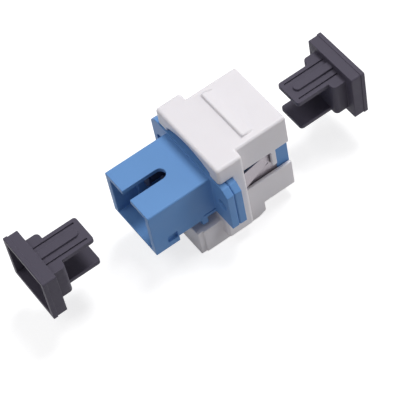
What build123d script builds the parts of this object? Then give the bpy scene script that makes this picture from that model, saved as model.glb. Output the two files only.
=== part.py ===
from build123d import *
import os

# Keystone fibre coupler: an SC fibre adapter held in a snap-in keystone housing, with its two
# dust caps pulled off and held in line with the ports.
#
# Frame, in millimetres: the origin is on the underside of the housing's foot, straight below the
# joint between the two halves of the adapter. +Z is up, +Y points out of the wall plate, and the
# plug axis is the line x = 0, z = axis_height. Sizes named rise and drop are measured from that axis.

# Adapter body, made of two halves that are welded together at the flange
port_length = 14.1
body_width = 12.8
body_height = 9.3
body_edge_radius = 0.35
body_above_foot = 2.05

# Flange: each half carries one of its two layers
flange_layer = 1.475
flange_width = 22.4
flange_over_body = 0.35
flange_under_body = 0.1
ear_chamfer = 1.3
ear_hole_inset = 2.2
ear_hole_radius = 1.1
layer_joint_chamfer = 0.2

# Plug cavity, with the slot for the plug's key
cavity_width = 9.1
cavity_height = 7.4
key_slot_width = 2.3
key_slot_length = 7.95
mouth_step = 0.6
mouth_depth = 1.0

# Lip below the mouth of the rear port, with the small pocket in each side above it
lip_length = 4.9
lip_below_body = 1.25
lip_wall = 0.45
lip_pocket_end_wall = 0.5
side_pocket_front = 2.7
side_pocket_length = 2.0
side_pocket_height = 1.6
side_pocket_depth = 0.6

# Lug below each side of the rear port, near the flange, with a slit above it
lug_start = 1.8
lug_length = 1.2
lug_width = 1.2
lug_below_body = 1.4
lug_slit_length = 2.4
lug_slit_height = 0.2
lug_slit_depth = 0.3
lug_slit_above = 0.75

# Latch inserts: a plate in a pocket at the flange, two hooks and half of the sleeve holder
insert_lap_sideways = 0.65
insert_lap_upwards = 0.2
insert_plate = 2.15
insert_clearance = 0.1
holder_wall = 0.6
holder_lip = 0.5
hook_length = 8.5
hook_thickness = 0.8
hook_height = 3.0
hook_nose = 0.45
hook_nose_length = 1.1
hook_wall_gap = 0.15

# Split alignment sleeve for 2.5 mm ferrules
sleeve_bore_radius = 1.25
sleeve_wall = 0.35
sleeve_length = 11.4
sleeve_slit = 0.5
sleeve_clearance = 0.05
ferrule_clearance = 0.2

# Retaining clip, a folded strip with one sprung leaf on each side
clip_thickness = 0.3
clip_width = 1.6
clip_inset = 3.4
clip_plate_drop = 3.9
clip_groove_clearance = 0.05
leaf_gap = 0.15
leaf_flare = 0.95
leaf_rise = 1.4
leaf_tip_drop = 2.7
leaf_root_drop = 0.9
leaf_cut = 0.25

# Keystone housing: the frame around the adapter, with its overhanging head
frame_wall = 2.5
frame_front = 1.27
frame_depth = 5.2
frame_below_nose = 0.7
frame_edge_radius = 0.6
body_clearance = 0.05
arch_width = 12.4
arch_shoulder = 0.95
arch_crown = 2.4

# Nose, which goes through the wall plate: latch channel above, fixed channel below
nose_wall = 0.68
nose_edge_radius = 0.55
channel_clearance = 0.12
latch_gap = 2.55
latch_plate = 1.5
latch_skirt_rise = 2.1
latch_end_wall = 1.2
latch_end_gap = 0.5
tab_ahead_of_clip = 0.4
tab_length = 1.0
tab_drop = 1.6
channel_gap = 3.45
channel_floor = 1.5
channel_skirt_drop = 3.5
channel_end_wall = 1.2
support_rib_spacing = 6.0
support_rib_width = 1.0

# Wedge on the latch, steep towards the wall and sloping towards the plate's face
plate_gap = 2.22
wedge_length = 2.5
wedge_inset = 1.3
wedge_height = 0.7
wedge_edge_radius = 0.3

# Foot below the frame, with the fixed catch at its end
foot_front = 6.17
foot_height = 5.8
foot_rim_length = 1.1
foot_rim_inset = 0.25
catch_reach = 3.67
catch_chamfer_length = 1.6
catch_chamfer_height = 0.76
core_wall = 1.3
core_rib = 1.1
core_roof = 1.4
core_rows = 3

# Dust caps
cap_head_width = 12.4
cap_head_height = 10.3
cap_head_depth = 2.75
cap_rim_depth = 0.8
cap_rim_step = 0.12
cap_edge_radius = 0.35
cap_neck_clearance = 0.15
cap_neck_depth = 2.7
cap_neck_corner_radius = 0.8
cap_recess_wall = 1.0
cap_recess_depth = 1.9
cap_bore_width = 6.4
cap_bore_height = 4.9
cap_bore_depth = 3.9
cap_length = 12.0
tongue_hook_gap = 0.2
tongue_holder_gap = 0.4
tongue_corner_radius = 0.6
tongue_groove_inset = 0.9
tongue_groove_width = 0.3
tongue_groove_depth = 0.35
tongue_groove_end_gap = 0.9
cap_key_clearance = 0.35
cap_key_height = 0.5
cap_key_end_gap = 0.15
cap_seat_gap = 0.05
rear_cap_pull = 17.75
front_cap_pull = 14.5


# Height of the plug axis: the body stands clear of the foot's top
axis_height = foot_height + body_above_foot + body_height / 2


def block(x, y, z):
    """A box given by its low and high value along each axis."""
    centre = [(low + high) / 2 for low, high in (x, y, z)]
    size = [high - low for low, high in (x, y, z)]
    return Pos(*centre) * Box(*size)


def middle_block(width, y, z):
    """A box that is centred on the plane x = 0."""
    return block((-width / 2, width / 2), y, z)


def rise(height):
    """The height of a level that is given from the plug axis."""
    return axis_height + height


def lying_cylinder(radius, y):
    """A cylinder on the plug axis, given by its low and high value along the axis."""
    low, high = y
    return Pos(0, (low + high) / 2, axis_height) * Rot(90, 0, 0) * Cylinder(radius, high - low)


def both_sides(shape):
    """A shape together with its mirror image across the plane x = 0."""
    return shape + mirror(shape, Plane.YZ)


def side_profile(points, width):
    """A solid of constant side outline, given as y and z values, centred on the plane x = 0."""
    outline = Plane.YZ * Polyline(*points, close=True)
    return extrude(make_face(outline), width / 2, both=True)


def top_profile(points, low, high):
    """A solid of constant outline as seen from above, given as x and y values, between two levels."""
    outline = Plane.XY.offset(low) * Polyline(*points, close=True)
    return extrude(make_face(outline), high - low)


def round_along(shape, axis, radius):
    """Rounds the edges that run along an axis."""
    return fillet(shape.edges().filter_by(axis), radius)


def turned_to_front(shape):
    """The same shape at the other port: half a turn about the vertical axis."""
    return Rot(0, 0, 180) * shape


# Levels and faces that several pieces share
body_underside = rise(-body_height / 2)
body_top = rise(body_height / 2)
flange_top = body_top + flange_over_body
flange_underside = body_underside - flange_under_body
latch_underside = body_top + latch_gap
housing_height = latch_underside + latch_plate
nose_underside = body_underside - channel_gap - channel_floor
frame_rear = frame_depth - frame_front
channel_width = body_width + 2 * channel_clearance
nose_width = channel_width + 2 * nose_wall
foot_width = nose_width
mouth_width = cavity_width + 2 * mouth_step
insert_width = cavity_width + 2 * insert_lap_sideways
insert_height = cavity_height + 2 * insert_lap_upwards
neck_width = cavity_width - 2 * cap_neck_clearance
neck_height = cavity_height - 2 * cap_neck_clearance
clip_centre = port_length - clip_inset
clip_front = clip_centre - clip_width / 2
clip_rear = clip_centre + clip_width / 2
sleeve_radius = sleeve_bore_radius + sleeve_wall
holder_radius = sleeve_radius + sleeve_clearance + holder_wall
hook_outer = cavity_width / 2 - hook_wall_gap
hook_inner = hook_outer - hook_thickness
ferrule_opening_radius = sleeve_bore_radius + ferrule_clearance


def adapter_shell():
    """One half of the adapter without its port's own features, on the rear side."""
    body = middle_block(body_width, (-port_length, 0), (body_underside, body_top))
    body = fillet(body.edges().filter_by(Axis.Y).group_by(Axis.Z)[-1], body_edge_radius)
    layer = middle_block(flange_width, (-flange_layer, 0), (flange_underside, flange_top))
    corners = layer.edges().filter_by(Axis.Y).group_by(Axis.Z)[-1]
    layer = chamfer(corners, ear_chamfer)
    joint_edges = layer.faces().sort_by(Axis.Y)[-1].edges().sort_by(Axis.Z)[1:]
    shell = body + chamfer(joint_edges, layer_joint_chamfer)

    half_height = cavity_height / 2
    shell -= middle_block(cavity_width, (-port_length, 0), (rise(-half_height), rise(half_height)))
    shell -= middle_block(
        mouth_width, (-port_length, mouth_depth - port_length), (rise(-half_height), rise(half_height))
    )
    pocket_height = insert_height / 2 + insert_clearance
    shell -= middle_block(
        insert_width + 2 * insert_clearance,
        (-insert_plate - insert_clearance, 0),
        (rise(-pocket_height), rise(pocket_height)),
    )

    slot_end = key_slot_length - key_slot_width / 2 - port_length
    slot_levels = (axis_height, body_top + body_height)
    shell -= middle_block(key_slot_width, (-port_length, slot_end), slot_levels)
    slot_height = slot_levels[1] - slot_levels[0]
    shell -= Pos(0, slot_end, sum(slot_levels) / 2) * Cylinder(key_slot_width / 2, slot_height)

    hole = Pos(flange_width / 2 - ear_hole_inset, -flange_layer / 2, axis_height) * Rot(90, 0, 0)
    shell -= both_sides(hole * Cylinder(ear_hole_radius, flange_layer))
    return shell


def rear_adapter_housing():
    """The half with the port that stands out of the housing: it has the lip below its mouth."""
    lip_end = lip_length - port_length
    lip_underside = body_underside - lip_below_body
    lip = middle_block(body_width, (-port_length, lip_end), (lip_underside, axis_height))
    lip -= middle_block(cavity_width, (-port_length, lip_end), (body_underside, axis_height))
    shell = adapter_shell() + lip
    shell -= middle_block(
        mouth_width,
        (-port_length, lip_end - lip_pocket_end_wall),
        (lip_underside + lip_wall, axis_height),
    )
    pocket_start = side_pocket_front - port_length
    pocket = block(
        (body_width / 2 - side_pocket_depth, body_width / 2),
        (pocket_start, pocket_start + side_pocket_length),
        (body_underside, body_underside + side_pocket_height),
    )
    lug = block(
        (body_width / 2 - lug_width, body_width / 2),
        (-flange_layer - lug_start - lug_length, -flange_layer - lug_start),
        (body_underside - lug_below_body, body_underside),
    )
    slit_level = body_underside + lug_slit_above
    slit = block(
        (body_width / 2 - lug_slit_depth, body_width / 2),
        (-flange_layer - lug_slit_length, -flange_layer),
        (slit_level, slit_level + lug_slit_height),
    )
    return shell + both_sides(lug) - both_sides(pocket + slit)


def front_adapter_housing():
    """The half whose port is flush with the nose: it has the groove for the clip."""
    shell = turned_to_front(adapter_shell())
    depth = clip_thickness + clip_groove_clearance
    band = (clip_front - clip_groove_clearance, clip_rear + clip_groove_clearance)
    side = (body_width / 2 - depth, body_width / 2)
    shell -= middle_block(body_width, band, (body_top - depth, body_top))
    low = rise(-clip_plate_drop - clip_groove_clearance)
    leg = block(side, band, (low, body_top))
    plate = block(side, (frame_rear, band[1]), (low, rise(leaf_rise + clip_groove_clearance)))
    return shell - both_sides(leg + plate)


def latch_insert():
    """The rear insert: its plate, its two hooks for the plug and its half of the sleeve holder."""
    half_height = insert_height / 2
    seat_length = sleeve_length / 2 + sleeve_clearance
    holder_length = seat_length + holder_lip
    plate = middle_block(insert_width, (-insert_plate, 0), (rise(-half_height), rise(half_height)))
    insert = plate + lying_cylinder(holder_radius, (-holder_length, 0))

    levels = (rise(-hook_height / 2), rise(hook_height / 2))
    arm = block((hook_inner, hook_outer), (-hook_length, 0), levels)
    nose = (
        (hook_inner, -hook_length),
        (hook_inner - hook_nose, hook_nose_length / 2 - hook_length),
        (hook_inner, hook_nose_length - hook_length),
    )
    arm += top_profile(nose, *levels)
    insert += both_sides(arm)

    insert -= lying_cylinder(sleeve_radius + sleeve_clearance, (-seat_length, 0))
    return insert - lying_cylinder(ferrule_opening_radius, (-holder_length, 0))


def alignment_sleeve():
    """A tube with one slit along it, so that it springs onto the two ferrules."""
    reach = (-sleeve_length / 2, sleeve_length / 2)
    sleeve = lying_cylinder(sleeve_radius, reach) - lying_cylinder(sleeve_bore_radius, reach)
    return sleeve - middle_block(sleeve_slit, reach, (axis_height, rise(sleeve_radius)))


def retaining_clip():
    """A strip over the body's top, with a plate on each side and a leaf that flares out of it."""
    outer = body_width / 2
    inner = outer - clip_thickness
    band = (clip_front, clip_rear)
    low = rise(-clip_plate_drop)
    strap = middle_block(body_width, band, (low, body_top))
    top_edges = strap.edges().filter_by(Axis.Y).group_by(Axis.Z)[-1]
    strap = fillet(top_edges, body_edge_radius)
    strap -= middle_block(2 * inner, band, (low, body_top - clip_thickness))

    tip = frame_rear + leaf_gap
    flare = (
        (inner, clip_front),
        (outer, clip_front),
        (outer + leaf_flare, tip),
        (inner + leaf_flare, tip),
    )
    leaf = top_profile(flare, rise(-leaf_tip_drop), rise(leaf_rise))
    taper = (
        (tip, rise(-leaf_tip_drop)),
        (clip_front, rise(-leaf_root_drop)),
        (clip_front, rise(-leaf_tip_drop)),
    )
    below_leaf = (
        (tip, low),
        (tip, rise(-leaf_tip_drop - leaf_cut)),
        (clip_front, rise(-leaf_root_drop - leaf_cut)),
        (clip_front, low),
    )
    plate = side_profile(below_leaf, body_width) - side_profile(below_leaf, 2 * inner)
    return strap + plate + both_sides(leaf - side_profile(taper, flange_width))


def housing_frame():
    """The frame behind the flange, and the head and sill that hold the flange between them."""
    frame_width = body_width + 2 * (body_clearance + frame_wall)
    frame_underside = nose_underside - frame_below_nose
    frame = middle_block(frame_width, (-frame_front, frame_rear), (frame_underside, housing_height))
    frame = round_along(frame, Axis.Y, frame_edge_radius)
    top_edges = frame.edges().filter_by(Axis.X).group_by(Axis.Z)[-1]
    return fillet(top_edges, frame_edge_radius)


def housing_foot():
    """The foot in front of the frame, and the catch that hooks behind the wall plate."""
    rim_end = foot_rim_length - foot_front
    foot = middle_block(foot_width, (rim_end, 0), (0, foot_height))
    foot += middle_block(foot_width - 2 * foot_rim_inset, (-foot_front, rim_end), (0, foot_height))
    catch_end = frame_rear + catch_reach
    catch = middle_block(foot_width, (0, catch_end), (0, nose_underside))
    lead_in = (
        (catch_end - catch_chamfer_length, 0),
        (catch_end, catch_chamfer_height),
        (catch_end, 0),
    )
    return foot + catch - side_profile(lead_in, foot_width)


def foot_cores():
    """The pockets in the underside, which leave walls and ribs of even thickness."""
    pocket_width = (foot_width - 2 * core_wall - core_rib) / 2
    start = core_wall - foot_front
    pitch = (frame_rear - start) / core_rows
    cores = []
    for row in range(core_rows):
        front = start + row * pitch
        cores.append(
            block(
                (core_rib / 2, core_rib / 2 + pocket_width),
                (front, front + pitch - core_rib),
                (0, foot_height - core_roof),
            )
        )
    return both_sides(Part() + cores)


def latch_wedge():
    """The wedge on the latch, which holds the plate's edge against the frame."""
    start = frame_rear + plate_gap
    outline = (
        (start, latch_underside),
        (start, housing_height + wedge_height),
        (start + wedge_length, housing_height),
        (start + wedge_length, latch_underside),
    )
    wedge = side_profile(outline, nose_width - 2 * wedge_inset)
    crest = wedge.edges().filter_by(Axis.X).group_by(Axis.Z)[-1]
    upper_ends = wedge.faces().sort_by(Axis.X)
    slopes = [end.edges().sort_by(Axis.Z)[-1] for end in (upper_ends[0], upper_ends[-1])]
    return fillet(crest + slopes, wedge_edge_radius)


def latch_channel():
    """The flexing upper part of the nose: plate, side skirts, end wall, tabs and wedge."""
    reach = (0, port_length)
    skirt_underside = rise(latch_skirt_rise)
    channel = middle_block(nose_width, reach, (skirt_underside, housing_height))
    top_edges = channel.edges().filter_by(Axis.Y).group_by(Axis.Z)[-1]
    channel = fillet(top_edges, nose_edge_radius)
    channel -= middle_block(channel_width, reach, (skirt_underside, latch_underside))
    channel += middle_block(
        channel_width,
        (port_length - latch_end_wall, port_length),
        (body_top + latch_end_gap, latch_underside),
    )
    tab_front = clip_centre - tab_ahead_of_clip
    tab = block(
        (channel_width / 2, nose_width / 2),
        (tab_front, tab_front + tab_length),
        (rise(-tab_drop), skirt_underside + tab_length),
    )
    return channel + both_sides(tab) + latch_wedge()


def fixed_channel():
    """The lower part of the nose: floor, side skirts, end wall and the ribs under the body."""
    reach = (0, port_length)
    floor_top = nose_underside + channel_floor
    skirt_top = rise(-channel_skirt_drop)
    channel = middle_block(nose_width, reach, (nose_underside, skirt_top))
    channel -= middle_block(channel_width, reach, (floor_top, skirt_top))
    channel += middle_block(
        channel_width,
        (port_length - channel_end_wall, port_length),
        (floor_top, body_underside - body_clearance),
    )
    rib_middle = support_rib_spacing / 2
    rib = block(
        (rib_middle - support_rib_width / 2, rib_middle + support_rib_width / 2),
        reach,
        (floor_top, body_underside - body_clearance),
    )
    return channel + both_sides(rib)


def flange_arch():
    """The space above the flange, which opens as a low arch in the front of the head."""
    half_width = arch_width / 2
    shoulder = flange_top + arch_shoulder
    left = ((-half_width, shoulder), (-half_width, flange_top))
    right = ((half_width, flange_top), (half_width, shoulder))
    crown = ThreePointArc(left[0], (0, flange_top + arch_crown), right[1])
    outline = Plane.XZ.offset(frame_front) * (Polyline(*left, *right) + crown)
    return extrude(make_face(outline), frame_front + flange_layer, dir=(0, 1, 0))


def keystone_housing():
    """One moulding: frame, foot, fixed channel and flexing latch, with the space for the adapter."""
    housing = housing_frame() + housing_foot() + latch_channel() + fixed_channel()
    passage = middle_block(
        body_width + 2 * body_clearance,
        (-frame_front, frame_rear),
        (body_underside - body_clearance, body_top + body_clearance),
    )
    recess = middle_block(
        flange_width,
        (-frame_front, flange_layer),
        (flange_underside, flange_top + body_clearance),
    )
    return housing - passage - recess - flange_arch() - foot_cores()


def cap_tongue():
    """The upper tongue, from the head to its tip, with its top level with the neck's."""
    half_width = hook_inner - hook_nose - tongue_hook_gap
    low = rise(holder_radius + tongue_holder_gap)
    high = rise(neck_height / 2)
    tongue = middle_block(2 * half_width, (cap_head_depth, cap_length), (low, high))
    tip = tongue.edges().filter_by(Axis.Z).group_by(Axis.Y)[-1]
    return fillet(tip, tongue_corner_radius)


def tongue_grooves():
    """The grooves along the upper tongue's top, on both of its sides."""
    middle = hook_inner - hook_nose - tongue_hook_gap - tongue_groove_inset
    high = rise(neck_height / 2)
    groove = block(
        (middle - tongue_groove_width / 2, middle + tongue_groove_width / 2),
        (cap_head_depth, cap_length - tongue_groove_end_gap),
        (high - tongue_groove_depth, high),
    )
    return both_sides(groove)


def cap_key():
    """The key along the upper tongue, with a round end, which goes into the port's key slot."""
    width = key_slot_width - 2 * cap_key_clearance
    slot_end = cap_head_depth + cap_seat_gap + key_slot_length
    round_centre = slot_end - cap_key_end_gap - width / 2
    low = rise(neck_height / 2)
    key = middle_block(width, (cap_head_depth, round_centre), (low, low + cap_key_height))
    return key + Pos(0, round_centre, low + cap_key_height / 2) * Cylinder(width / 2, cap_key_height)


def dust_cap():
    """A cap with its outer face on the plane y = 0 and its tongues towards +Y, on the plug axis."""
    half_height = cap_head_height / 2
    step = cap_rim_step
    rim = middle_block(cap_head_width, (0, cap_rim_depth), (rise(-half_height), rise(half_height)))
    rim = round_along(rim, Axis.Y, cap_edge_radius)
    head = middle_block(
        cap_head_width - 2 * step,
        (cap_rim_depth, cap_head_depth),
        (rise(step - half_height), rise(half_height - step)),
    )
    head = round_along(head, Axis.Y, cap_edge_radius)
    neck_end = cap_head_depth + cap_neck_depth
    neck = middle_block(
        neck_width, (cap_head_depth, neck_end), (rise(-neck_height / 2), rise(neck_height / 2))
    )
    neck = fillet(neck.edges().filter_by(Axis.Z).group_by(Axis.Y)[-1], cap_neck_corner_radius)

    upper = cap_tongue()
    lower = mirror(upper, Plane.XY.offset(axis_height))
    cap = rim + head + neck + upper + lower + cap_key() - tongue_grooves()

    recess_width = cap_head_width - 2 * cap_recess_wall
    recess_height = half_height - cap_recess_wall
    cap -= middle_block(recess_width, (0, cap_recess_depth), (rise(-recess_height), rise(recess_height)))
    bore = cap_bore_height / 2
    return cap - middle_block(cap_bore_width, (0, cap_bore_depth), (rise(-bore), rise(bore)))


def rear_dust_cap():
    """The cap of the rear port, pulled off by rear_cap_pull."""
    outer_face = -port_length - cap_head_depth - cap_seat_gap - rear_cap_pull
    return Pos(0, outer_face, 0) * dust_cap()


def front_dust_cap():
    """The cap of the front port, pulled off by front_cap_pull."""
    outer_face = port_length + cap_head_depth + cap_seat_gap + front_cap_pull
    return Pos(0, outer_face, 0) * turned_to_front(dust_cap())


nodes = {
    "keystone_housing": keystone_housing(),
    "rear_adapter_housing": rear_adapter_housing(),
    "front_adapter_housing": front_adapter_housing(),
    "retaining_clip": retaining_clip(),
    "rear_latch_insert": latch_insert(),
    "front_latch_insert": turned_to_front(latch_insert()),
    "alignment_sleeve": alignment_sleeve(),
    "rear_dust_cap": rear_dust_cap(),
    "front_dust_cap": front_dust_cap(),
}

os.makedirs("parts", exist_ok=True)
for name, shape in nodes.items():
    export_step(shape, f"parts/{name}.step")
    print(name, "volume", round(shape.volume, 2), "valid", shape.is_valid)
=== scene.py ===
import itertools
import math

import bmesh
import bpy
from mathutils import Matrix, Vector
from mathutils.geometry import intersect_point_line


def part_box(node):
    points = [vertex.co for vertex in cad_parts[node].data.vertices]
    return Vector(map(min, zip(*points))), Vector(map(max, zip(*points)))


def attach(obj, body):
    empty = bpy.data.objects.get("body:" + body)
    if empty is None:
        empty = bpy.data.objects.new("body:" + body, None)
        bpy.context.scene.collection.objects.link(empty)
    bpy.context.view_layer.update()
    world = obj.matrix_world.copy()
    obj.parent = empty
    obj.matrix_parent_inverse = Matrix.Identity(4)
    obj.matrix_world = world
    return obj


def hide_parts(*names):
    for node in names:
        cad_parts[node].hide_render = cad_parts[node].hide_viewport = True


bl_info = {
    "name": "Keystone fibre coupler",
    "version": (1, 0, 0),
    "blender": (4, 5, 0),
    "location": "3D Viewport > Sidebar > Coupler",
    "description": "Finishes the surfaces of a keystone fibre coupler and sets up its studio",
    "category": "Object",
}

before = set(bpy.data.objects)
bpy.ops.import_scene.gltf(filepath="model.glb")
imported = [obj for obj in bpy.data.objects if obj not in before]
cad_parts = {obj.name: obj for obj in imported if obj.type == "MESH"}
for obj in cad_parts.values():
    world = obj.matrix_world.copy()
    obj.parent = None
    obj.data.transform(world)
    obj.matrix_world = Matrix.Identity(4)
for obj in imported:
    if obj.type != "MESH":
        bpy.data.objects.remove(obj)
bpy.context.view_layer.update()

# Every value below is in metres, unless its name says otherwise
MM = 0.001

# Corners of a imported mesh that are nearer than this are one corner
WELD = 0.001 * MM
# Faces that turn by less than this where they meet are one flat face
FLAT_WITHIN = math.radians(0.5)
# Faces that turn by more than this where they meet have a sharp edge between them
SHARP_ABOVE = math.radians(28)
# Rounded faces that turn by less than this where they meet are shaded as one
SMOOTH_BELOW = math.radians(35)
# Edges that turn by less than this where they meet are one line
SAME_LINE = math.radians(30)
# Two edges run side by side if the way between them is square to both, up to this cosine
SQUARE_WITHIN = 0.3
# Most that one rounding takes of the flat strip between two edges, so that two leave some of it
PART_OF_STRIP = 0.45

# Most of a noise pattern lies between these two values
NOISE_LOW = 0.3
NOISE_HIGH = 0.7
# How much the paper glows where the camera sees it, so that it shows white
PAPER_LIFT = 0.72


def linear(hex_code):
    """Linear red, green and blue of an sRGB colour given as a hex string."""
    levels = [int(hex_code[i:i + 2], 16) / 255 for i in (1, 3, 5)]
    return [v / 12.92 if v <= 0.04045 else ((v + 0.055) / 1.055) ** 2.4 for v in levels]


def length(name, description, default):
    """A property for one length, shown with its unit."""
    return bpy.props.FloatProperty(
        name=name, description=description, default=default, min=0, precision=5, unit="LENGTH"
    )


def power(name, description, default):
    """A property for the power of one lamp."""
    return bpy.props.FloatProperty(
        name=name, description=description, default=default, min=0, unit="POWER"
    )


def colour(name, description, hex_code):
    """A property for one colour."""
    return bpy.props.FloatVectorProperty(
        name=name, description=description, default=linear(hex_code),
        min=0, max=1, subtype="COLOR",
    )


class CouplerEdges(bpy.types.PropertyGroup):
    """How round the edges of each kind of piece are."""

    housing: length("Housing", "Edge radius of the white moulding", 0.22 * MM)
    port: length("Ports", "Edge radius of the blue mouldings", 0.12 * MM)
    insert: length("Inserts", "Edge radius of the latch inserts", 0.08 * MM)
    cap: length("Dust caps", "Edge radius of the dust caps", 0.12 * MM)
    clip: length("Clip", "Edge radius of the folded strip", 0.04 * MM)
    sleeve: length("Sleeve", "Edge radius at the sleeve's ends", 0.08 * MM)


class CouplerColours(bpy.types.PropertyGroup):
    """Surface colours."""

    housing: colour("Housing", "White of the keystone housing", "#E7E4E7")
    port: colour("Ports", "Blue of the adapter's two halves", "#6896CD")
    # Partly painted shade: darker than the inserts' own blue, for the shade deep inside the ports
    insert: colour("Inserts", "Dark blue of the latch inserts inside the ports", "#464A62")
    cap: colour("Dust caps", "Charcoal of the dust caps", "#4F4B58")
    clip: colour("Clip", "Steel of the retaining clip", "#9A949A")
    sleeve: colour("Sleeve", "Ivory of the alignment sleeve", "#F0ECE2")
    floor: colour("Floor", "Paper under the coupler", "#BCBCBC")


class CouplerStudio(bpy.types.PropertyGroup):
    """Camera and lights."""

    azimuth: bpy.props.FloatProperty(
        name="Azimuth", description="Turn of the camera about the vertical, from looking along +Y",
        default=math.radians(64.75), unit="ROTATION",
    )
    elevation: bpy.props.FloatProperty(
        name="Elevation", description="Height of the camera above the horizon",
        default=math.radians(53.64), unit="ROTATION",
    )
    roll: bpy.props.FloatProperty(
        name="Roll", description="Turn of the camera about its own line of sight",
        default=math.radians(12.8), unit="ROTATION",
    )
    distance: length("Distance", "From the camera to the point that it looks at", 323.2 * MM)
    lens: bpy.props.FloatProperty(
        name="Lens", description="Focal length on a sensor 36 mm wide", default=173.88,
        unit="CAMERA",
    )
    key: power("Key lamp", "Power of the large soft lamp above", 1.5)
    fill: power("Fill lamp", "Power of the lamp in front of the rear port", 0.52)
    side: power("Side lamp", "Power of the low lamp beside the nose", 0.4)
    ambient: bpy.props.FloatProperty(
        name="Ambient", description="Strength of the even light from all around", default=0.2,
        min=0,
    )


def settings(kind):
    """The property group of that kind on the scene."""
    return getattr(bpy.context.scene, "coupler_" + kind)


# Modelling


def leave_none_selected():
    """Nothing selected, in object mode."""
    if bpy.context.object and bpy.context.object.mode != "OBJECT":
        bpy.ops.object.mode_set(mode="OBJECT")
    bpy.ops.object.select_all(action="DESELECT")


def make_active(piece):
    """Selects one object alone and makes it the active one."""
    leave_none_selected()
    piece.select_set(True)
    bpy.context.view_layer.objects.active = piece


def apply_modifier(piece, kind, **values):
    """Adds one modifier, sets its values and applies it."""
    make_active(piece)
    modifier = piece.modifiers.new(kind.lower(), kind)
    for key, value in values.items():
        setattr(modifier, key, value)
    bpy.ops.object.modifier_apply(modifier=modifier.name)


def worked_copy(node, name):
    """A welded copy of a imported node's mesh, with its flat faces whole. The node stays as it is."""
    piece = bpy.data.objects.new(name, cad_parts[node].data.copy())
    piece.data.name = name
    bpy.context.collection.objects.link(piece)
    make_active(piece)
    bpy.ops.mesh.customdata_custom_splitnormals_clear()
    bpy.ops.object.mode_set(mode="EDIT")
    bpy.ops.mesh.select_all(action="SELECT")
    bpy.ops.mesh.remove_doubles(threshold=WELD)
    bpy.ops.mesh.dissolve_limited(angle_limit=FLAT_WITHIN)
    bpy.ops.object.mode_set(mode="OBJECT")
    return piece


def strip_width(first, second):
    """How far apart two edges of a face run side by side, and endless where they don't."""
    gaps = []
    for edge, other in ((first, second), (second, first)):
        start, end = (corner.co for corner in other.verts)
        for corner in edge.verts:
            along = intersect_point_line(corner.co, start, end)[1]
            gaps.append(corner.co - start.lerp(end, min(max(along, 0), 1)))
    gap = min(gaps, key=lambda vector: vector.length)
    across = gap.normalized()
    for edge in (first, second):
        start, end = (corner.co for corner in edge.verts)
        if abs(across.dot((end - start).normalized())) > SQUARE_WITHIN:
            return math.inf
    return gap.length


def even_out(mesh, weight):
    """Gives edges that follow on, in a line or round a bend, the least of their parts."""
    uneven = True
    while uneven:
        uneven = False
        for corner in mesh.verts:
            sharp = [edge for edge in corner.link_edges if edge[weight]]
            for first, second in itertools.combinations(sharp, 2):
                ways = [edge.other_vert(corner).co - corner.co for edge in (first, second)]
                if first[weight] != second[weight] and ways[0].angle(-ways[1]) < SAME_LINE:
                    first[weight] = second[weight] = min(first[weight], second[weight])
                    uneven = True


def weigh_edges(piece, radius, sharper_than):
    """Gives each edge its part of the radius: none where its faces turn by less than sharper_than.

    It is less than one where the strip of face to the next edge has no room for both roundings.
    """
    mesh = bmesh.new()
    mesh.from_mesh(piece.data)
    weight = mesh.edges.layers.float.new("bevel_weight_edge")
    for edge in mesh.edges:
        edge[weight] = float(edge.calc_face_angle(0) > sharper_than)
    for face in mesh.faces:
        sharp = [edge for edge in face.edges if edge[weight]]
        for first, second in itertools.combinations(sharp, 2):
            if not set(first.verts) & set(second.verts):
                part = PART_OF_STRIP * strip_width(first, second) / radius
                first[weight] = min(first[weight], part)
                second[weight] = min(second[weight], part)
    even_out(mesh, weight)
    mesh.to_mesh(piece.data)
    mesh.free()


def round_edges(piece, radius, segments=3, sharper_than=SHARP_ABOVE):
    """Rounds the sharp edges, as a mould does, with a smaller radius beside a narrow strip."""
    weigh_edges(piece, radius, sharper_than)
    apply_modifier(
        piece, "BEVEL", width=radius, segments=segments, limit_method="WEIGHT",
        use_clamp_overlap=False, loop_slide=False, miter_outer="MITER_SHARP",
    )
    make_active(piece)
    bpy.ops.object.shade_smooth_by_angle(angle=SMOOTH_BELOW)
    apply_modifier(piece, "WEIGHTED_NORMAL", keep_sharp=True)


def finish_piece(piece, material, body, node):
    """Gives a piece its material and its body, and hides the imported node that it stands for."""
    piece.data.materials.clear()
    piece.data.materials.append(material)
    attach(piece, body)
    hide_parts(node)
    leave_none_selected()


# Materials


def add_node(tree, kind, inputs=None, **values):
    """Adds one node. Each input takes a number, a colour or the socket that feeds it."""
    node = tree.nodes.new("ShaderNode" + kind)
    for key, value in values.items():
        setattr(node, key, value)
    for key, value in (inputs or {}).items():
        if isinstance(value, bpy.types.NodeSocket):
            tree.links.new(value, node.inputs[key])
        else:
            node.inputs[key].default_value = value
    return node


def start_material(name):
    """A new material: its tree, its shader and the place of each point on the object."""
    material = bpy.data.materials.new(name)
    material.use_nodes = True
    tree = material.node_tree
    place = add_node(tree, "TexCoord").outputs["Object"]
    return material, tree, tree.nodes["Principled BSDF"], place


def mottle(tree, shader, place, base, shade, size, detail):
    """Clouds of the base colour and a darker one, of about this size. Returns their pattern."""
    clouds = add_node(
        tree, "TexNoise", {"Vector": place, "Scale": 1 / size, "Detail": detail}
    ).outputs["Fac"]
    dark = [channel * shade for channel in base]
    blend = add_node(
        tree, "Mix", {"Factor": clouds, "A": (*dark, 1), "B": (*base, 1)}, data_type="RGBA"
    )
    tree.links.new(blend.outputs["Result"], shader.inputs["Base Color"])
    return clouds


def streaks(tree, place, spacing, shortening, detail):
    """Fine lines this far apart along Y. They run on in X and Z, where they are much longer."""
    across, along = 1 / spacing, shortening / spacing
    stretched = add_node(tree, "Mapping", {"Vector": place, "Scale": (along, across, along)})
    lines = add_node(
        tree, "TexNoise",
        {"Vector": stretched.outputs["Vector"], "Scale": 1.0, "Detail": detail},
    )
    return lines.outputs["Fac"]


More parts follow.
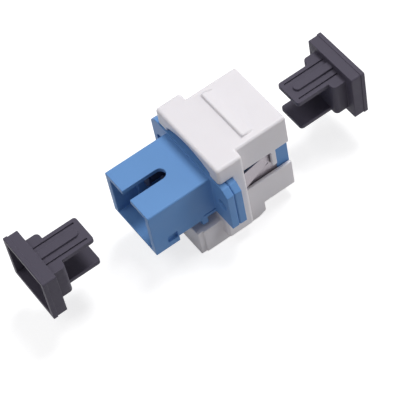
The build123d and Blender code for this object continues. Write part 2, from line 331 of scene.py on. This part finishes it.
def gloss_and_relief(tree, shader, gloss_pattern, rough, relief_pattern, height):
    """One pattern spreads the roughness between two values, and one raises the surface."""
    spread = add_node(
        tree, "MapRange",
        {
            "Value": gloss_pattern, "From Min": NOISE_LOW, "From Max": NOISE_HIGH,
            "To Min": rough[0], "To Max": rough[1],
        },
    )
    tree.links.new(spread.outputs["Result"], shader.inputs["Roughness"])
    bump = add_node(tree, "Bump", {"Height": relief_pattern, "Distance": height, "Strength": 1.0})
    tree.links.new(bump.outputs["Normal"], shader.inputs["Normal"])


def moulded_plastic(name, base, shade, cloud, grain, grain_height, rough):
    """Injection-moulded plastic: faint clouds of colour from the flow, and the mould's fine grain.

    base is the colour, shade how much darker a cloud gets, cloud and grain the sizes of the two
    patterns, grain_height the depth of the grain and rough the lowest and highest roughness.
    """
    material, tree, shader, place = start_material(name)
    clouds = mottle(tree, shader, place, base, shade, cloud, 3.0)
    fine = add_node(tree, "TexNoise", {"Vector": place, "Scale": 1 / grain, "Detail": 2.0})
    gloss_and_relief(tree, shader, clouds, rough, fine.outputs["Fac"], grain_height)
    return material, shader


def moulded_abs():
    """White ABS, eroded to an even satin in the mould: light spreads a little way into it."""
    material, shader = moulded_plastic(
        "moulded white ABS", settings("colours").housing,
        shade=0.975, cloud=3.5 * MM, grain=0.16 * MM, grain_height=0.004 * MM, rough=(0.4, 0.5),
    )
    shader.inputs["IOR"].default_value = 1.53
    shader.inputs["Specular IOR Level"].default_value = 0.35
    shader.inputs["Subsurface Weight"].default_value = 0.4
    shader.inputs["Subsurface Radius"].default_value = (1.0, 0.95, 0.9)
    shader.inputs["Subsurface Scale"].default_value = 0.8 * MM
    return material


def moulded_pbt():
    """Blue PBT of the adapter: filled, stiff, with a soft satin gloss."""
    material, shader = moulded_plastic(
        "moulded blue PBT", settings("colours").port,
        shade=0.96, cloud=3.0 * MM, grain=0.14 * MM, grain_height=0.004 * MM, rough=(0.4, 0.52),
    )
    shader.inputs["IOR"].default_value = 1.55
    shader.inputs["Specular IOR Level"].default_value = 0.15
    return material


def moulded_insert():
    """Dark blue PBT of the latch inserts, glossier than the ports so that the hooks slide.

    Its dark blue is partly painted shade: darker than the inserts' own blue, for the shade deep in
    the ports.
    """
    material, shader = moulded_plastic(
        "moulded blue PBT of the inserts", settings("colours").insert,
        shade=0.95, cloud=2.0 * MM, grain=0.12 * MM, grain_height=0.003 * MM, rough=(0.3, 0.4),
    )
    shader.inputs["IOR"].default_value = 1.55
    return material


def moulded_cap():
    """Charcoal polyethylene of the dust caps: soft, waxy and faintly mottled."""
    material, shader = moulded_plastic(
        "moulded charcoal polyethylene", settings("colours").cap,
        shade=0.88, cloud=1.6 * MM, grain=0.2 * MM, grain_height=0.006 * MM, rough=(0.46, 0.6),
    )
    shader.inputs["IOR"].default_value = 1.51
    shader.inputs["Specular IOR Level"].default_value = 0.15
    return material


def rolled_steel():
    """Rolled stainless spring strip: fine lines along the strip, which lies in X and Z."""
    material, tree, shader, place = start_material("rolled stainless steel")
    shader.inputs["Base Color"].default_value = (*settings("colours").clip, 1)
    shader.inputs["Metallic"].default_value = 1.0
    # Real rolling lines lie a few thousandths of a millimetre apart. These are coarser, to show
    lines = streaks(tree, place, spacing=0.09 * MM, shortening=0.06, detail=3.0)
    gloss_and_relief(tree, shader, lines, (0.26, 0.42), lines, 0.003 * MM)
    return material


def ground_zirconia():
    """Zirconia ceramic of the sleeve, ground round its axis and nearly polished."""
    material, tree, shader, place = start_material("ground zirconia")
    shader.inputs["Base Color"].default_value = (*settings("colours").sleeve, 1)
    shader.inputs["IOR"].default_value = 2.1
    # Real grinding rings lie a few thousandths of a millimetre apart. These are coarser, to show
    rings = streaks(tree, place, spacing=0.12 * MM, shortening=0.05, detail=2.0)
    gloss_and_relief(tree, shader, rings, (0.1, 0.2), rings, 0.001 * MM)
    return material


def seen_directly(tree):
    """One where the camera sees a surface, straight, in a gloss or through a glass, else nought."""
    path = add_node(tree, "LightPath")
    seen = path.outputs["Is Camera Ray"]
    for way in ("Is Glossy Ray", "Is Transmission Ray"):
        both = add_node(
            tree, "Math", {0: seen, 1: path.outputs[way]}, operation="ADD", use_clamp=True
        )
        seen = both.outputs["Value"]
    return seen


def seamless_paper():
    """Matt paper, lifted to white where the camera sees it, with the coupler's shadow kept."""
    material, tree, shader, place = start_material("white seamless paper")
    mottle(tree, shader, place, settings("colours").floor, shade=0.98, size=1.2 * MM, detail=4.0)
    shader.inputs["Roughness"].default_value = 0.9
    shader.inputs["Emission Color"].default_value = (1, 1, 1, 1)
    lift = add_node(
        tree, "Math", {0: seen_directly(tree), 1: PAPER_LIFT}, operation="MULTIPLY"
    )
    tree.links.new(lift.outputs["Value"], shader.inputs["Emission Strength"])
    return material


# Operators, one for each piece or group of like pieces


class COUPLER_OT_stage(bpy.types.Operator):
    """Lay the floor, hang the lamps and set up the camera at the photograph's viewing angle"""

    bl_idname = "coupler.stage"
    bl_label = "Studio"
    floor_size = 3
    # Each lamp's place and the side of its square
    lamps = {
        "key": ((-0.07, 0.16, 0.475), 0.17),
        "fill": ((-0.06, -0.2, 0.46), 0.22),
        "side": ((0.22, 0.32, 0.12), 0.2),
    }
    # The even light is a little cool, as it is between white walls
    around_colour = (0.95, 0.93, 1.0, 1)
    # The point on the adapter that the camera looks at
    target = Vector((5.48, -3.61, 12.09)) * MM
    sensor_width = 36

    def execute(self, context):
        studio = settings("studio")
        leave_none_selected()
        bpy.ops.mesh.primitive_plane_add(size=self.floor_size, location=(0, 0, 0))
        floor = context.object
        floor.name = "floor"
        floor.data.materials.append(seamless_paper())

        for name, (place, size) in self.lamps.items():
            self.lamp(name, place, size, getattr(studio, name))
        self.world(context, studio.ambient)
        self.camera(context, studio)
        return {"FINISHED"}

    def lamp(self, name, place, size, watts):
        """A square soft lamp that points at the middle of the coupler."""
        middle = sum(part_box("keystone_housing"), Vector()) / 2
        bpy.ops.object.light_add(type="AREA", location=place)
        lamp = bpy.context.object
        lamp.name = name + "_lamp"
        lamp.data.size = size
        lamp.data.energy = watts
        lamp.rotation_euler = (Vector(place) - middle).to_track_quat("Z", "Y").to_euler()

    def world(self, context, ambient):
        """Even light from all around, and plain white where the camera looks past the floor."""
        world = bpy.data.worlds.new("studio")
        world.use_nodes = True
        context.scene.world = world
        tree = world.node_tree
        around = tree.nodes["Background"]
        around.inputs["Color"].default_value = self.around_colour
        around.inputs["Strength"].default_value = ambient
        behind = add_node(tree, "Background", {"Color": (1, 1, 1, 1), "Strength": 1.0})
        kinds = {1: around.outputs["Background"], 2: behind.outputs["Background"]}
        mix = add_node(tree, "MixShader", {0: seen_directly(tree), **kinds})
        tree.links.new(mix.outputs["Shader"], tree.nodes["World Output"].inputs["Surface"])

    def camera(self, context, studio):
        """The camera at its azimuth, elevation and roll, looking at its target."""
        turn, rise = studio.azimuth, studio.elevation
        back = Vector((
            math.sin(turn) * math.cos(rise), -math.cos(turn) * math.cos(rise), math.sin(rise),
        ))
        right = Vector((math.cos(turn), math.sin(turn), 0))
        level = Matrix((right, back.cross(right), back)).transposed()
        camera = bpy.data.objects.new("camera", bpy.data.cameras.new("camera"))
        context.scene.collection.objects.link(camera)
        camera.location = self.target + back * studio.distance
        camera.rotation_euler = (level @ Matrix.Rotation(-studio.roll, 3, "Z")).to_euler()
        camera.data.lens = studio.lens
        camera.data.sensor_width = self.sensor_width
        camera.data.clip_start = 0.01
        camera.data.clip_end = 20
        context.scene.camera = camera


class COUPLER_OT_housing(bpy.types.Operator):
    """Finish the white keystone housing"""

    bl_idname = "coupler.housing"
    bl_label = "Keystone housing"

    def execute(self, context):
        housing = worked_copy("keystone_housing", "housing_moulding")
        round_edges(housing, settings("edges").housing)
        finish_piece(housing, moulded_abs(), "coupler", "keystone_housing")
        return {"FINISHED"}


class COUPLER_OT_ports(bpy.types.Operator):
    """Finish the adapter's two blue halves"""

    bl_idname = "coupler.ports"
    bl_label = "Adapter halves"

    def execute(self, context):
        blue = moulded_pbt()
        for end in ("rear", "front"):
            node = end + "_adapter_housing"
            half = worked_copy(node, end + "_port_moulding")
            round_edges(half, settings("edges").port)
            finish_piece(half, blue, "coupler", node)
        return {"FINISHED"}


class COUPLER_OT_inserts(bpy.types.Operator):
    """Finish the two latch inserts inside the ports"""

    bl_idname = "coupler.inserts"
    bl_label = "Latch inserts"

    def execute(self, context):
        blue = moulded_insert()
        for end in ("rear", "front"):
            node = end + "_latch_insert"
            insert = worked_copy(node, end + "_insert_moulding")
            round_edges(insert, settings("edges").insert, segments=2)
            finish_piece(insert, blue, "coupler", node)
        return {"FINISHED"}


class COUPLER_OT_sleeve(bpy.types.Operator):
    """Finish the split alignment sleeve"""

    bl_idname = "coupler.sleeve"
    bl_label = "Alignment sleeve"
    # The facets of its round wall turn by less than this, and its ends by more
    ends_above = math.radians(50)

    def execute(self, context):
        sleeve = worked_copy("alignment_sleeve", "split_sleeve")
        radius = settings("edges").sleeve
        round_edges(sleeve, radius, segments=2, sharper_than=self.ends_above)
        finish_piece(sleeve, ground_zirconia(), "coupler", "alignment_sleeve")
        return {"FINISHED"}


class COUPLER_OT_clip(bpy.types.Operator):
    """Finish the folded retaining clip"""

    bl_idname = "coupler.clip"
    bl_label = "Retaining clip"

    def execute(self, context):
        clip = worked_copy("retaining_clip", "folded_clip")
        round_edges(clip, settings("edges").clip, segments=2)
        finish_piece(clip, rolled_steel(), "coupler", "retaining_clip")
        return {"FINISHED"}


class COUPLER_OT_caps(bpy.types.Operator):
    """Finish the two dust caps"""

    bl_idname = "coupler.caps"
    bl_label = "Dust caps"

    def execute(self, context):
        charcoal = moulded_cap()
        for end in ("rear", "front"):
            node = end + "_dust_cap"
            cap = worked_copy(node, end + "_cap_moulding")
            round_edges(cap, settings("edges").cap)
            finish_piece(cap, charcoal, end + "_cap", node)
        return {"FINISHED"}


STEPS = (
    COUPLER_OT_stage,
    COUPLER_OT_housing,
    COUPLER_OT_ports,
    COUPLER_OT_inserts,
    COUPLER_OT_sleeve,
    COUPLER_OT_clip,
    COUPLER_OT_caps,
)


class COUPLER_PT_panel(bpy.types.Panel):
    """Lists the sizes, colours and steps of the coupler"""

    bl_idname = "COUPLER_PT_panel"
    bl_label = "Keystone fibre coupler"
    bl_space_type = "VIEW_3D"
    bl_region_type = "UI"
    bl_category = "Coupler"

    def draw(self, context):
        for kind, group in GROUPS.items():
            box = self.layout.box()
            box.label(text=kind.capitalize())
            for name in group.__annotations__:
                box.prop(settings(kind), name)
        for step in STEPS:
            self.layout.operator(step.bl_idname)


GROUPS = {"edges": CouplerEdges, "colours": CouplerColours, "studio": CouplerStudio}


def register():
    """Adds the classes to Blender and the property groups to its scenes."""
    for cls in (*GROUPS.values(), *STEPS, COUPLER_PT_panel):
        bpy.utils.register_class(cls)
    for kind, group in GROUPS.items():
        setattr(bpy.types.Scene, "coupler_" + kind, bpy.props.PointerProperty(type=group))


def unregister():
    """Takes away what register adds."""
    for kind in GROUPS:
        delattr(bpy.types.Scene, "coupler_" + kind)
    for cls in reversed((*GROUPS.values(), *STEPS, COUPLER_PT_panel)):
        bpy.utils.unregister_class(cls)


def main():
    """Builds the whole scene."""
    register()
    bpy.context.scene.view_settings.view_transform = "Standard"
    bpy.ops.coupler.stage()
    bpy.ops.coupler.housing()
    bpy.ops.coupler.ports()
    bpy.ops.coupler.inserts()
    bpy.ops.coupler.sleeve()
    bpy.ops.coupler.clip()
    bpy.ops.coupler.caps()


if __name__ == "__main__":
    main()
